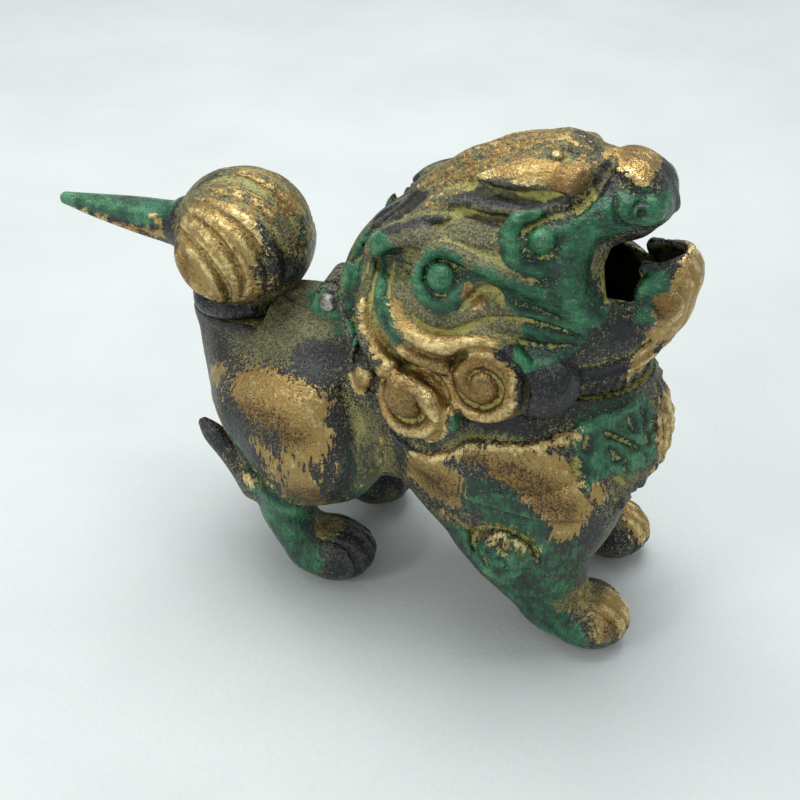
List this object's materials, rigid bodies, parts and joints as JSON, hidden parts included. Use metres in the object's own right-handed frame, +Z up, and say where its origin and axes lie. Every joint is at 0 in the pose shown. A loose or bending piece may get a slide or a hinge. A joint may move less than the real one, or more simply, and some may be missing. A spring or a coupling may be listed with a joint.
{
  "type": "foo dog incense burner",
  "caption": "Hollow cast lion-dog incense burner: the maned head is a hinged lid over a bowl in the body, and smoke leaves by the open mouth.",
  "frame": {"origin": "on the floor under the paws, midway between the tail tip and the jaw tip, on the plane of symmetry", "axes": "+X towards the head, +Y towards the dog's left side, +Z up"},
  "size_m": [0.1209, 0.0518, 0.0968],
  "materials": {
    "painted_casting": "blue-black iron under worn green enamel and rubbed gold paint",
    "pin_steel": "dull, browned steel pin",
    "screw_steel": "plain steel screw"
  },
  "bodies": {
    "base": {"body_casting": "painted_casting", "tail_casting": "painted_casting", "hinge_pin": "pin_steel", "tail_screw": "screw_steel"},
    "head": {"head_casting": "painted_casting"}
  },
  "joints": [
    {"name": "head_hinge", "type": "hinge", "parent": "base", "child": "head", "pos_m": [-0.0035, 0, 0.061], "axis": [0, -1, 0], "range_deg": [0, 42]}
  ]
}
